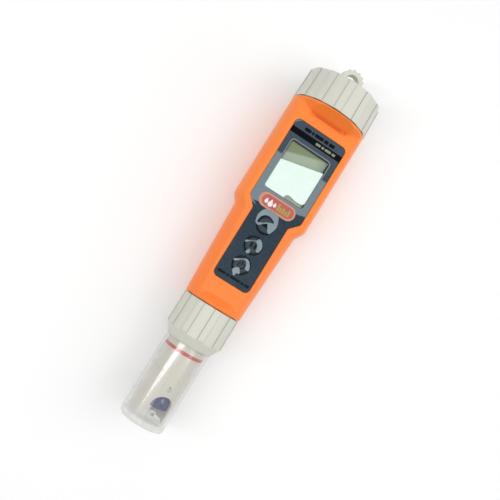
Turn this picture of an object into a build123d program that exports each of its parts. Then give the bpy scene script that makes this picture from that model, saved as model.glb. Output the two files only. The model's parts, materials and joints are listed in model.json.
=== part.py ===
from build123d import *
import os
from math import cos, radians, sin

os.makedirs("parts", exist_ok=True)

# A pen-shaped pH meter lying on its back. Millimetres.
# Y runs along the pen from the storage cup to the battery cap, Z points out of the display and X to
# the right of the display. A station is a distance along the pen, measured from the cup's closed end.
# A height is measured from the pen's centre line, towards the display.

# ---- driving dimensions -------------------------------------------------------------------------
OVERALL_LENGTH = 188.0
CAP_RADIUS = 19.0
HEAD_RADIUS = 18.85
WAIST_RADIUS = 16.0
FOOT_RADIUS = 14.15
SHELL_START = 61.0
SHELL_END = 162.5
SHELL_WALL = 1.8
FRONT_HEIGHT = 10.4
FRONT_WALL = 2.0
JOINT_GAP = 0.3
FIT_GAP = 0.1
THREAD_LEAD = 4.0
THREAD_HEIGHT = 0.8
THREAD_SINK = 0.2
THREAD_HALF_ROOT = 0.9
THREAD_HALF_CREST = 0.5
CUTTER_HALF = 20.0

AXIS_HEIGHT = CAP_RADIUS
FRONT_INNER = FRONT_HEIGHT - FRONT_WALL

# ---- frame helpers ------------------------------------------------------------------------------
PEN_AXIS = Axis((0, 0, AXIS_HEIGHT), (0, 1, 0))
PROFILE = Plane(origin=(0, -OVERALL_LENGTH / 2, AXIS_HEIGHT), x_dir=(0, 1, 0), z_dir=(1, 0, 0))


def across(station):
    """Cross-section plane: local x points out of the display, local y to the right."""
    origin = (0, station - OVERALL_LENGTH / 2, AXIS_HEIGHT)
    return Plane(origin=origin, x_dir=(0, 0, 1), z_dir=(0, 1, 0))


def plan(height):
    """Plane parallel to the display: local x points to the right, local y is the station."""
    origin = (0, -OVERALL_LENGTH / 2, AXIS_HEIGHT + height)
    return Plane(origin=origin, x_dir=(1, 0, 0), z_dir=(0, 0, 1))


def thread_ridge(root, rise, station, turns):
    """One helical thread ridge round the pen axis, its root sunk a little into the wall it stands on.

    A positive rise stands outwards from the root radius, a negative one inwards.
    """
    sink = THREAD_SINK if rise > 0 else -THREAD_SINK
    with BuildPart() as ridge:
        with BuildLine():
            path = Helix(
                pitch=THREAD_LEAD,
                height=THREAD_LEAD * turns,
                radius=root,
                center=(0, station - OVERALL_LENGTH / 2, AXIS_HEIGHT),
                direction=(0, 1, 0),
            )
        with BuildSketch(Plane(origin=path @ 0, x_dir=(0, 0, 1), z_dir=path % 0)):
            Polygon(
                (-sink, -THREAD_HALF_ROOT),
                (rise, -THREAD_HALF_CREST),
                (rise, THREAD_HALF_CREST),
                (-sink, THREAD_HALF_ROOT),
                align=None,
            )
        sweep(path=path, is_frenet=True)
    return ridge.part


def coil_spring(station, radius, wire, pitch, turns):
    """Round-wire helical spring on the pen axis, starting at a station."""
    with BuildPart() as coil:
        with BuildLine():
            path = Helix(
                pitch=pitch,
                height=pitch * turns,
                radius=radius,
                center=(0, station - OVERALL_LENGTH / 2, AXIS_HEIGHT),
                direction=(0, 1, 0),
            )
        with BuildSketch(Plane(origin=path @ 0, z_dir=path % 0)):
            Circle(wire / 2)
        sweep(path=path, is_frenet=True)
    return coil.part


# ---- shared outlines ----------------------------------------------------------------------------
LABEL_TOP = 152.5
LABEL_BOTTOM = 73.4
LABEL_HEAD_HALF = 13.4
LABEL_WAIST_HALF = 9.2
LABEL_SHOULDER = (107.9, 112.3)
LABEL_CORNER = 2.4

with BuildSketch() as label_shape:
    with BuildLine():
        FilletPolyline(
            (0, LABEL_BOTTOM),
            (LABEL_WAIST_HALF, LABEL_BOTTOM),
            (LABEL_WAIST_HALF, LABEL_SHOULDER[0]),
            (LABEL_HEAD_HALF, LABEL_SHOULDER[1]),
            (LABEL_HEAD_HALF, LABEL_TOP),
            (0, LABEL_TOP),
            radius=LABEL_CORNER,
        )
        Line((0, LABEL_TOP), (0, LABEL_BOTTOM))
    make_face()
    mirror(about=Plane.YZ)

WINDOW_HALF = 10.2
WINDOW_STATIONS = (118.5, 143.2)
WINDOW_LENGTH = WINDOW_STATIONS[1] - WINDOW_STATIONS[0]
WINDOW_CENTRE = (WINDOW_STATIONS[0] + WINDOW_STATIONS[1]) / 2
WINDOW_CORNER = 1.5

BUTTONS = {"mode": 103.9, "hold": 93.3, "power": 83.0}
BUTTON_HOLE_RADIUS = 4.1

# ---- housing shell ------------------------------------------------------------------------------
SHOULDER_STATIONS = (106.2, 110.6)
LOWER_NECK_END = 47.0
LOWER_NECK_RADIUS = 11.2
LOWER_NECK_BORE = 9.6
END_WALL_START = 65.0
LABEL_RECESS = 0.6
LABEL_GAP = 0.15
LENS_THICKNESS = 1.0
LENS_MARGIN = 1.0
LENS_BASE = FRONT_HEIGHT - LABEL_RECESS - LENS_THICKNESS
OPENING_MARGIN = 0.5
LOWER_THREAD_START = 49.2
LOWER_THREAD_TURNS = 2.0
FRONT_EDGE_FILLET = 1.2
# the finger scoops at the two ends of the flat face: half width and station of the straight edge
UPPER_SCOOP_HALF = 10.5
UPPER_SCOOP_STATION = 158.2
UPPER_SCOOP_DRAFT = 27
LOWER_SCOOP_HALF = 5.5
LOWER_SCOOP_STATION = 65.7
LOWER_SCOOP_DRAFT = 43
SCOOP_DEPTH = 10
CREASE_RADIUS = 0.8
CREASE_STATION = 157.9
CREASE_HEIGHT = 10.6
CREASE_HALF = 8.6
# a narrow flat strip along the back keeps the pen from rolling
BACK_STRIP_FOOT = 13.8
BACK_STRIP_WAIST = 15.65
BACK_STRIP_HEAD = 18.5
BACK_STRIP_CREASE = 111.2
RAIL_HEIGHT = -1.3
RAIL_THICKNESS = 1.4
RAIL_WIDTH = 4.2
RAIL_LENGTH = 45
RAIL_X = 15.3
RAIL_STATION = 134.5

with BuildPart() as cavity:
    with BuildSketch(PROFILE):
        Polygon(
            (SHELL_START + 2, 0),
            (SHELL_START + 2, FOOT_RADIUS - SHELL_WALL),
            (SHOULDER_STATIONS[0] - 0.5, WAIST_RADIUS - SHELL_WALL),
            (SHOULDER_STATIONS[1], HEAD_RADIUS - SHELL_WALL),
            (SHELL_END, HEAD_RADIUS - SHELL_WALL),
            (SHELL_END, 0),
            align=None,
        )
    revolve(axis=PEN_AXIS)
    split(bisect_by=plan(FRONT_INNER), keep=Keep.BOTTOM)

lower_thread = thread_ridge(LOWER_NECK_RADIUS, THREAD_HEIGHT, LOWER_THREAD_START, LOWER_THREAD_TURNS)

with BuildPart() as housing_shell:
    # turned outer form: tapered grip, rounded shoulder, straight head
    with BuildSketch(PROFILE):
        with BuildLine():
            FilletPolyline(
                (SHELL_START, 0),
                (SHELL_START, FOOT_RADIUS),
                (SHOULDER_STATIONS[0], WAIST_RADIUS),
                (SHOULDER_STATIONS[1], HEAD_RADIUS),
                (SHELL_END, HEAD_RADIUS),
                (SHELL_END, 0),
                radius=[0.9, 2.0, 5.0, 0.5],
            )
            Line((SHELL_END, 0), (SHELL_START, 0))
        make_face()
    revolve(axis=PEN_AXIS)
    # flat display face, ending in a faceted scoop below the cap and a shallower one above the collar
    with BuildSketch(plan(FRONT_HEIGHT)):
        Polygon(
            (-CUTTER_HALF, SHOULDER_STATIONS[0]),
            (CUTTER_HALF, SHOULDER_STATIONS[0]),
            (CUTTER_HALF, SHELL_END + 0.4),
            (UPPER_SCOOP_HALF, UPPER_SCOOP_STATION),
            (-UPPER_SCOOP_HALF, UPPER_SCOOP_STATION),
            (-CUTTER_HALF, SHELL_END + 0.4),
            align=None,
        )
    extrude(amount=SCOOP_DEPTH, taper=-UPPER_SCOOP_DRAFT, mode=Mode.SUBTRACT)
    with BuildSketch(plan(FRONT_HEIGHT)):
        Polygon(
            (-WAIST_RADIUS, LABEL_SHOULDER[1]),
            (WAIST_RADIUS, LABEL_SHOULDER[1]),
            (WAIST_RADIUS, SHELL_START - 1.0),
            (LOWER_SCOOP_HALF, LOWER_SCOOP_STATION),
            (-LOWER_SCOOP_HALF, LOWER_SCOOP_STATION),
            (-WAIST_RADIUS, SHELL_START - 1.0),
            align=None,
        )
    extrude(amount=SCOOP_DEPTH - 1, taper=-LOWER_SCOOP_DRAFT, mode=Mode.SUBTRACT)
    crease_y = CREASE_STATION - OVERALL_LENGTH / 2
    with Locations((0, crease_y, AXIS_HEIGHT + CREASE_HEIGHT)):
        Cylinder(CREASE_RADIUS, 2 * CREASE_HALF, rotation=(0, 90, 0), mode=Mode.SUBTRACT)
    for crease_x in (-CREASE_HALF, CREASE_HALF):
        with Locations((crease_x, crease_y, AXIS_HEIGHT + CREASE_HEIGHT)):
            Sphere(CREASE_RADIUS, mode=Mode.SUBTRACT)
    # flat strip along the back
    with BuildSketch(PROFILE):
        Polygon(
            (SHELL_START - 1, -BACK_STRIP_FOOT),
            (SHOULDER_STATIONS[0], -BACK_STRIP_WAIST),
            (BACK_STRIP_CREASE, -BACK_STRIP_HEAD),
            (SHELL_END + 1, -BACK_STRIP_HEAD),
            (SHELL_END + 1, -CUTTER_HALF),
            (SHELL_START - 1, -CUTTER_HALF),
            align=None,
        )
    extrude(amount=HEAD_RADIUS, both=True, mode=Mode.SUBTRACT)
    face_level = housing_shell.edges().filter_by_position(
        Axis.Z, AXIS_HEIGHT + FRONT_HEIGHT - 0.01, AXIS_HEIGHT + FRONT_HEIGHT + 0.01
    )
    long_edges = face_level.filter_by(lambda edge: abs(edge.center().X) > 9 and -32 < edge.center().Y < 66)
    fillet(long_edges, radius=FRONT_EDGE_FILLET)
    # threaded neck for the electrode collar
    with BuildSketch(across(LOWER_NECK_END)):
        Circle(LOWER_NECK_RADIUS)
    extrude(amount=SHELL_START - LOWER_NECK_END + 1)
    add(lower_thread)
    # inside
    add(cavity.part, mode=Mode.SUBTRACT)
    with BuildSketch(across(LOWER_NECK_END)):
        Circle(LOWER_NECK_BORE)
    extrude(amount=END_WALL_START - LOWER_NECK_END + 0.2, mode=Mode.SUBTRACT)
    # label recess, lens pocket and display opening
    with BuildSketch(plan(FRONT_HEIGHT)):
        add(label_shape.sketch)
        offset(amount=LABEL_GAP)
    extrude(amount=-LABEL_RECESS, mode=Mode.SUBTRACT)
    with BuildSketch(plan(FRONT_HEIGHT)):
        with Locations((0, WINDOW_CENTRE)):
            RectangleRounded(
                2 * (WINDOW_HALF + LENS_MARGIN),
                WINDOW_LENGTH + 2 * LENS_MARGIN,
                WINDOW_CORNER,
            )
    extrude(amount=-LABEL_RECESS - LENS_THICKNESS, mode=Mode.SUBTRACT)
    with BuildSketch(plan(FRONT_HEIGHT)):
        with Locations((0, WINDOW_CENTRE)):
            RectangleRounded(
                2 * (WINDOW_HALF + OPENING_MARGIN),
                WINDOW_LENGTH + 2 * OPENING_MARGIN,
                WINDOW_CORNER,
            )
    extrude(amount=-FRONT_WALL - 1, mode=Mode.SUBTRACT)
    with BuildSketch(plan(FRONT_HEIGHT)):
        for station in BUTTONS.values():
            with Locations((0, station)):
                Circle(BUTTON_HOLE_RADIUS)
    extrude(amount=-FRONT_WALL - 1, mode=Mode.SUBTRACT)
    # rails that carry the inner chassis
    with BuildSketch(plan(RAIL_HEIGHT)):
        with Locations((-RAIL_X, RAIL_STATION), (RAIL_X, RAIL_STATION)):
            Rectangle(RAIL_WIDTH, RAIL_LENGTH)
    extrude(amount=RAIL_THICKNESS)
housing_shell.part.label = "housing_shell"
export_step(housing_shell.part, "parts/housing_shell.step")

# ---- front label, window lens -------------------------------------------------------------------
LABEL_THICKNESS = 0.4
LABEL_BASE = FRONT_HEIGHT - LABEL_RECESS

with BuildPart() as front_label:
    with BuildSketch(plan(LABEL_BASE)):
        add(label_shape.sketch)
        with Locations((0, WINDOW_CENTRE)):
            RectangleRounded(2 * WINDOW_HALF, WINDOW_LENGTH, WINDOW_CORNER, mode=Mode.SUBTRACT)
        for station in BUTTONS.values():
            with Locations((0, station)):
                Circle(BUTTON_HOLE_RADIUS, mode=Mode.SUBTRACT)
    extrude(amount=LABEL_THICKNESS)
front_label.part.label = "front_label"
export_step(front_label.part, "parts/front_label.step")

with BuildPart() as display_window:
    with BuildSketch(plan(LENS_BASE)):
        with Locations((0, WINDOW_CENTRE)):
            RectangleRounded(
                2 * (WINDOW_HALF + LENS_MARGIN - FIT_GAP),
                WINDOW_LENGTH + 2 * (LENS_MARGIN - FIT_GAP),
                WINDOW_CORNER,
            )
    extrude(amount=LENS_THICKNESS)
display_window.part.label = "display_window"
export_step(display_window.part, "parts/display_window.step")

# ---- display stack ------------------------------------------------------------------------------
BOARD_BASE = 1.4
BOARD_TOP = 3.0
FRAME_TOP = FRONT_INNER - FIT_GAP
FRAME_LIP = 0.4
FRAME_RIM_TOP = LENS_BASE - 0.05
GLASS_TOP = FRAME_TOP - FRAME_LIP
GLASS_BASE = 5.6
GLASS_STATIONS = (115.8, 145.7)
GLASS_HALF = 12.2
GLASS_CENTRE = (GLASS_STATIONS[0] + GLASS_STATIONS[1]) / 2
GLASS_LENGTH = GLASS_STATIONS[1] - GLASS_STATIONS[0]
FRAME_BORDER = 1.2
CONTACT_LEDGE = 2.0

with BuildPart() as display_frame:
    with BuildSketch(plan(BOARD_TOP)):
        with Locations((0, GLASS_CENTRE)):
            RectangleRounded(2 * (GLASS_HALF + FRAME_BORDER), GLASS_LENGTH + 2 * FRAME_BORDER, 1.0)
    extrude(amount=FRAME_TOP - BOARD_TOP)
    # rim that lines the shell's opening up to the lens
    with BuildSketch(plan(FRAME_TOP)):
        with Locations((0, WINDOW_CENTRE)):
            RectangleRounded(
                2 * (WINDOW_HALF + OPENING_MARGIN - FIT_GAP),
                WINDOW_LENGTH + 2 * (OPENING_MARGIN - FIT_GAP),
                WINDOW_CORNER,
            )
    extrude(amount=FRAME_RIM_TOP - FRAME_TOP)
    with BuildSketch(plan(BOARD_TOP)):
        with Locations((0, GLASS_CENTRE)):
            Rectangle(2 * GLASS_HALF + FIT_GAP, GLASS_LENGTH + FIT_GAP)
    extrude(amount=GLASS_TOP - BOARD_TOP, mode=Mode.SUBTRACT)
    with BuildSketch(plan(BOARD_TOP)):
        with Locations((0, WINDOW_CENTRE)):
            Rectangle(2 * (WINDOW_HALF - FRAME_LIP), WINDOW_LENGTH - 2 * FRAME_LIP)
    extrude(amount=FRAME_RIM_TOP - BOARD_TOP, mode=Mode.SUBTRACT)
display_frame.part.label = "display_frame"
export_step(display_frame.part, "parts/display_frame.step")

with BuildPart() as lcd_glass:
    with BuildSketch(plan(GLASS_BASE)):
        with Locations((0, GLASS_CENTRE)):
            Rectangle(2 * GLASS_HALF, GLASS_LENGTH)
    extrude(amount=(GLASS_TOP - GLASS_BASE) / 2)
    # the upper pane stops short of the contact ledge
    with BuildSketch(plan((GLASS_TOP + GLASS_BASE) / 2)):
        with Locations((0, GLASS_CENTRE + CONTACT_LEDGE / 2)):
            Rectangle(2 * GLASS_HALF, GLASS_LENGTH - CONTACT_LEDGE)
    extrude(amount=(GLASS_TOP - GLASS_BASE) / 2)
lcd_glass.part.label = "lcd_glass"
export_step(lcd_glass.part, "parts/lcd_glass.step")

with BuildPart() as contact_rubber:
    with BuildSketch(plan(BOARD_TOP)):
        with Locations((0, GLASS_STATIONS[0] + 1.3), (0, GLASS_STATIONS[1] - 1.3)):
            Rectangle(2 * GLASS_HALF - 1.6, CONTACT_LEDGE)
    extrude(amount=GLASS_BASE - BOARD_TOP)
contact_rubber.part.label = "contact_rubber"
export_step(contact_rubber.part, "parts/contact_rubber.step")

# ---- circuit board and what is on it ------------------------------------------------------------
BOARD_STATIONS = (68, 148)
BOARD_SHOULDER = (107, 110)
BOARD_WAIST_HALF = 8.8
BOARD_HEAD_HALF = 13.3
SCREW_RADIUS = 1.0
SCREW_HEAD_RADIUS = 1.8
SCREW_HEAD_HEIGHT = 1.3
SCREW_SHANK = 5.5
SCREW_SLOT = (2.2, 0.45)
SCREW_PLACES = [(-6.6, 73.6), (6.6, 73.6), (-11.0, 112.2), (11.0, 112.2)]
PROCESSOR_SIDE = 9.0
PROCESSOR_HEIGHT = 1.4
PROCESSOR_STATION = 126.0
AMPLIFIER_SIZE = (3.9, 4.9)
AMPLIFIER_HEIGHT = 1.5
AMPLIFIER_STATION = 74.2
CHIP_CHAMFER = 0.25
CRYSTAL_SIZE = (10.0, 3.6)
CRYSTAL_HEIGHT = 1.9
CRYSTAL_STATION = 136.5
CRYSTAL_FILLET = 0.4
CAPACITOR_SIZE = (1.3, 2.0)
CAPACITOR_HEIGHT = 0.9
CAPACITOR_PLACES = [(-7, 121), (7, 121), (-7, 131), (7, 131), (-5.2, 110), (5.2, 110)]

with BuildPart() as circuit_board:
    with BuildSketch(plan(BOARD_BASE)):
        Polygon(
            (-BOARD_WAIST_HALF, BOARD_STATIONS[0]),
            (BOARD_WAIST_HALF, BOARD_STATIONS[0]),
            (BOARD_WAIST_HALF, BOARD_SHOULDER[0]),
            (BOARD_HEAD_HALF, BOARD_SHOULDER[1]),
            (BOARD_HEAD_HALF, BOARD_STATIONS[1]),
            (-BOARD_HEAD_HALF, BOARD_STATIONS[1]),
            (-BOARD_HEAD_HALF, BOARD_SHOULDER[1]),
            (-BOARD_WAIST_HALF, BOARD_SHOULDER[0]),
            align=None,
        )
        with Locations(*SCREW_PLACES):
            Circle(SCREW_RADIUS, mode=Mode.SUBTRACT)
    extrude(amount=BOARD_TOP - BOARD_BASE)
circuit_board.part.label = "circuit_board"
export_step(circuit_board.part, "parts/circuit_board.step")

with BuildPart() as processor_chip:
    with BuildSketch(plan(BOARD_TOP)):
        with Locations((0, PROCESSOR_STATION)):
            Rectangle(PROCESSOR_SIDE, PROCESSOR_SIDE)
    extrude(amount=PROCESSOR_HEIGHT)
    chamfer(processor_chip.faces().sort_by(Axis.Z)[-1].edges(), length=CHIP_CHAMFER)
processor_chip.part.label = "processor_chip"
export_step(processor_chip.part, "parts/processor_chip.step")

with BuildPart() as amplifier_chip:
    with BuildSketch(plan(BOARD_TOP)):
        with Locations((0, AMPLIFIER_STATION)):
            Rectangle(AMPLIFIER_SIZE[0], AMPLIFIER_SIZE[1])
    extrude(amount=AMPLIFIER_HEIGHT)
    chamfer(amplifier_chip.faces().sort_by(Axis.Z)[-1].edges(), length=CHIP_CHAMFER)
amplifier_chip.part.label = "amplifier_chip"
export_step(amplifier_chip.part, "parts/amplifier_chip.step")

with BuildPart() as clock_crystal:
    with BuildSketch(plan(BOARD_TOP)):
        with Locations((0, CRYSTAL_STATION)):
            SlotOverall(CRYSTAL_SIZE[0], CRYSTAL_SIZE[1])
    extrude(amount=CRYSTAL_HEIGHT)
    fillet(clock_crystal.faces().sort_by(Axis.Z)[-1].edges(), radius=CRYSTAL_FILLET)
clock_crystal.part.label = "clock_crystal"
export_step(clock_crystal.part, "parts/clock_crystal.step")

with BuildPart() as capacitors:
    with BuildSketch(plan(BOARD_TOP)):
        with Locations(*CAPACITOR_PLACES):
            Rectangle(CAPACITOR_SIZE[0], CAPACITOR_SIZE[1])
    extrude(amount=CAPACITOR_HEIGHT)
capacitors.part.label = "capacitors"
export_step(capacitors.part, "parts/capacitors.step")

with BuildPart() as board_screws:
    with BuildSketch(plan(BOARD_TOP - SCREW_SHANK)):
        with Locations(*SCREW_PLACES):
            Circle(SCREW_RADIUS)
    extrude(amount=SCREW_SHANK)
    with BuildSketch(plan(BOARD_TOP)):
        with Locations(*SCREW_PLACES):
            Circle(SCREW_HEAD_RADIUS)
    extrude(amount=SCREW_HEAD_HEIGHT)
    # cross recess
    with BuildSketch(plan(BOARD_TOP + SCREW_HEAD_HEIGHT)):
        with Locations(*SCREW_PLACES):
            Rectangle(SCREW_SLOT[0], SCREW_SLOT[1])
            Rectangle(SCREW_SLOT[1], SCREW_SLOT[0])
    extrude(amount=-SCREW_HEAD_HEIGHT / 2, mode=Mode.SUBTRACT)
board_screws.part.label = "board_screws"
export_step(board_screws.part, "parts/board_screws.step")

# ---- inner chassis and battery tray -------------------------------------------------------------
CHASSIS_BASE = 0.1
CHASSIS_FLOOR_START = 67.0
CELL_RADIUS = 5.8
CELL_THICKNESS = 5.4
CELL_HEIGHT = -7.0
CELL_COUNT = 4
CELL_END = 163.0
CELL_START = CELL_END - CELL_COUNT * CELL_THICKNESS
TRAY_START = 136.0
TRAY_END = 157.6
PIN_HEIGHT = 3.4
PIN_OFFSETS = (-3.0, 0.0, 3.0)
PIN_PLACES = [(PIN_HEIGHT, offset_x) for offset_x in PIN_OFFSETS]
CHASSIS_WAIST_HALF = 9.2
CHASSIS_HEAD_HALF = 14.6
CHASSIS_SHOULDER = (107.5, 111.5)
CHASSIS_END = 157.0
CHASSIS_WALL_RADIUS = 11.6
CHASSIS_WALL_TOP = 7.8
BOSS_RADIUS = 2.2
BOSS_BASE = -3.5
TERMINAL_RADIUS = 0.4
TRAY_WALL = 1.0
TRAY_GAP = 0.3
TRAY_END_WALL = 1.2
TRAY_STEM = (3.0, 9.0)
TRAY_SLOT = (14, 5)
TRAY_SLOT_STATION = 149.0
CELL_LIP = 1.0
CELL_STEP = 0.5
CELL_FILLET = 0.4
CONTACT_DISC = 0.4
CONTACT_HALF_WIDTH = 2.0
STRIP_WIDTH = 3.0
STRIP_LENGTH = 15.6
STRIP_STATION = 155.2
STRIP_THICKNESS = 0.4
STRIP_DROP = 2.1
STRIP_FOOT_STATION = 147.65
STRIP_FOOT = 0.5

with BuildPart() as inner_chassis:
    with BuildSketch(plan(CHASSIS_BASE)):
        Polygon(
            (-CHASSIS_WAIST_HALF, CHASSIS_FLOOR_START),
            (CHASSIS_WAIST_HALF, CHASSIS_FLOOR_START),
            (CHASSIS_WAIST_HALF, CHASSIS_SHOULDER[0]),
            (CHASSIS_HEAD_HALF, CHASSIS_SHOULDER[1]),
            (CHASSIS_HEAD_HALF, CHASSIS_END),
            (-CHASSIS_HEAD_HALF, CHASSIS_END),
            (-CHASSIS_HEAD_HALF, CHASSIS_SHOULDER[1]),
            (-CHASSIS_WAIST_HALF, CHASSIS_SHOULDER[0]),
            align=None,
        )
    extrude(amount=BOARD_BASE - CHASSIS_BASE)
    with BuildSketch(plan(BOSS_BASE)):
        with Locations(*SCREW_PLACES):
            Circle(BOSS_RADIUS)
    extrude(amount=CHASSIS_BASE - BOSS_BASE)
    # end wall that closes the shell behind the electrode's socket
    with BuildSketch(across(END_WALL_START)):
        Circle(CHASSIS_WALL_RADIUS)
        with Locations((CHASSIS_WALL_TOP, 0)):
            Rectangle(
                CHASSIS_WALL_RADIUS,
                2 * CHASSIS_WALL_RADIUS,
                align=(Align.MIN, Align.CENTER),
                mode=Mode.SUBTRACT,
            )
        with Locations(*PIN_PLACES):
            Circle(TERMINAL_RADIUS + 0.05, mode=Mode.SUBTRACT)
    extrude(amount=CHASSIS_FLOOR_START - END_WALL_START)
    with BuildSketch(plan(BOSS_BASE)):
        with Locations(*SCREW_PLACES):
            Circle(SCREW_RADIUS)
    extrude(amount=BOARD_BASE - BOSS_BASE, mode=Mode.SUBTRACT)
inner_chassis.part.label = "inner_chassis"
export_step(inner_chassis.part, "parts/inner_chassis.step")

with BuildPart() as battery_tray:
    with BuildSketch(across(TRAY_START)):
        with Locations((CELL_HEIGHT, 0)):
            Circle(CELL_RADIUS + TRAY_GAP + TRAY_WALL)
        with Locations((CHASSIS_BASE - TRAY_STEM[0] / 2, 0)):
            Rectangle(TRAY_STEM[0], TRAY_STEM[1])
    extrude(amount=TRAY_END - TRAY_START)
    with BuildSketch(across(TRAY_START + TRAY_END_WALL)):
        with Locations((CELL_HEIGHT, 0)):
            Circle(CELL_RADIUS + TRAY_GAP)
    extrude(amount=TRAY_END - TRAY_START, mode=Mode.SUBTRACT)
    # slot in the tray's underside
    with BuildSketch(plan(CELL_HEIGHT)):
        with Locations((0, TRAY_SLOT_STATION)):
            SlotOverall(TRAY_SLOT[0], TRAY_SLOT[1], rotation=90)
    extrude(amount=-2 * CELL_RADIUS, mode=Mode.SUBTRACT)
battery_tray.part.label = "battery_tray"
export_step(battery_tray.part, "parts/battery_tray.step")

with BuildPart() as cell_contact:
    with BuildSketch(across(TRAY_START + TRAY_END_WALL)):
        with Locations((CELL_HEIGHT, 0)):
            Circle(CELL_RADIUS - 0.2)
    extrude(amount=CONTACT_DISC)
    # leaf that leans up to the first cell
    with BuildSketch(PROFILE):
        Polygon(
            (TRAY_START + 1.5, CELL_HEIGHT - 4.6),
            (TRAY_START + 1.5, CELL_HEIGHT - 3.2),
            (CELL_START - 0.4, CELL_HEIGHT + 1.6),
            (CELL_START, CELL_HEIGHT + 1.6),
            (CELL_START, CELL_HEIGHT + 0.2),
            (CELL_START - 0.3, CELL_HEIGHT + 0.2),
            align=None,
        )
    extrude(amount=CONTACT_HALF_WIDTH, both=True)
cell_contact.part.label = "cell_contact"
export_step(cell_contact.part, "parts/cell_contact.step")

for index in range(CELL_COUNT):
    cell_base = CELL_START + index * CELL_THICKNESS
    with BuildPart() as button_cell:
        with BuildSketch(across(cell_base)):
            with Locations((CELL_HEIGHT, 0)):
                Circle(CELL_RADIUS - CELL_LIP)
        extrude(amount=CELL_THICKNESS)
        with BuildSketch(across(cell_base + CELL_STEP)):
            with Locations((CELL_HEIGHT, 0)):
                Circle(CELL_RADIUS)
        extrude(amount=CELL_THICKNESS - CELL_STEP)
        fillet(button_cell.edges().filter_by(GeomType.CIRCLE).sort_by(Axis.Y)[-1], radius=CELL_FILLET)
    cell_name = f"button_cell_{index + 1}"
    button_cell.part.label = cell_name
    export_step(button_cell.part, f"parts/{cell_name}.step")

with BuildPart() as contact_strip:
    with BuildSketch(plan(FRONT_INNER - STRIP_DROP)):
        with Locations((0, STRIP_STATION)):
            Rectangle(STRIP_WIDTH, STRIP_LENGTH)
    extrude(amount=STRIP_THICKNESS)
    with BuildSketch(plan(BOARD_TOP)):
        with Locations((0, STRIP_FOOT_STATION)):
            Rectangle(STRIP_WIDTH, STRIP_FOOT)
    extrude(amount=FRONT_INNER - STRIP_DROP + STRIP_THICKNESS - BOARD_TOP)
contact_strip.part.label = "contact_strip"
export_step(contact_strip.part, "parts/contact_strip.step")

# ---- battery neck: plugs the open end of the shell and carries the cap's thread -----------------
NECK_RADIUS = 15.4
NECK_BORE = 13.6
NECK_END = 173.5
NECK_FLANGE_TOP = SHELL_END + 0.7
PLUG_START = 158.0
SEAL_STATION = 164.5
SEAL_WIRE = 0.9
SEAL_CENTRE_RADIUS = 15.95

UPPER_THREAD_RISE = 1.2
UPPER_THREAD_START = 166.4
UPPER_THREAD_TURNS = 1.55
NECK_FLANGE_RADIUS = 16.4
PLUG_GAP = 0.15

upper_thread = thread_ridge(NECK_RADIUS, UPPER_THREAD_RISE, UPPER_THREAD_START, UPPER_THREAD_TURNS)

with BuildPart() as plug_bore:
    with BuildSketch(across(PLUG_START)):
        Circle(NECK_BORE)
    extrude(amount=SHELL_END - PLUG_START)
    split(bisect_by=plan(FRONT_INNER - 1.5), keep=Keep.BOTTOM)

with BuildPart() as battery_neck:
    with BuildSketch(across(PLUG_START)):
        Circle(HEAD_RADIUS - SHELL_WALL - PLUG_GAP)
    extrude(amount=SHELL_END - PLUG_START)
    split(bisect_by=plan(FRONT_INNER - PLUG_GAP), keep=Keep.BOTTOM)
    add(plug_bore.part, mode=Mode.SUBTRACT)
    with BuildSketch(across(SHELL_END)):
        Circle(NECK_FLANGE_RADIUS)
    extrude(amount=NECK_FLANGE_TOP - SHELL_END)
    with BuildSketch(across(NECK_FLANGE_TOP)):
        Circle(NECK_RADIUS)
    extrude(amount=NECK_END - NECK_FLANGE_TOP)
    chamfer(battery_neck.edges().filter_by(GeomType.CIRCLE).sort_by(Axis.Y)[-1], length=0.4)
    add(upper_thread)
    with BuildSketch(across(SHELL_END)):
        Circle(NECK_BORE)
    extrude(amount=NECK_END - SHELL_END, mode=Mode.SUBTRACT)
    with BuildSketch(PROFILE):
        with Locations((SEAL_STATION, SEAL_CENTRE_RADIUS)):
            Rectangle(2 * SEAL_WIRE + 0.1, 2 * SEAL_WIRE)
    revolve(axis=PEN_AXIS, mode=Mode.SUBTRACT)
battery_neck.part.label = "battery_neck"
export_step(battery_neck.part, "parts/battery_neck.step")

with BuildPart() as neck_seal:
    with BuildSketch(PROFILE):
        with Locations((SEAL_STATION, SEAL_CENTRE_RADIUS)):
            Circle(SEAL_WIRE)
    revolve(axis=PEN_AXIS)
neck_seal.part.label = "neck_seal"
export_step(neck_seal.part, "parts/neck_seal.step")

# ---- battery cap with lanyard eye ---------------------------------------------------------------
CAP_START = SHELL_END + JOINT_GAP
CAP_TOP = 177.85
CAP_TOP_RADIUS = 18.6
CAP_BORE = 16.9
CAP_CEILING = 175.6
CAP_EDGE_FILLET = 0.8
CAP_RIBS = 12
CAP_RIB_ANGLE = -4.7
CAP_RIB_WIDTH = 3.4
CAP_RIB_HEIGHT = 0.45
CAP_THREAD_START = 168.4
CAP_HUB_RADIUS = 3.2
CAP_HUB_DEPTH = 3.0
EYE_RADIUS = 5.2
EYE_HOLE = 3.3
EYE_THICKNESS = 5.0
LUMP_RADIUS = 0.92
LUMP_ORBIT = 4.85
LUMP_ANGLES = (-90, -65, -40, -15, 15, 40, 65, 90)
TOP_LUMP_ANGLE = 15
EYE_STATION = OVERALL_LENGTH - LUMP_ORBIT * cos(radians(TOP_LUMP_ANGLE)) - LUMP_RADIUS

cap_thread = thread_ridge(CAP_BORE, -UPPER_THREAD_RISE, CAP_THREAD_START, UPPER_THREAD_TURNS)

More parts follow.
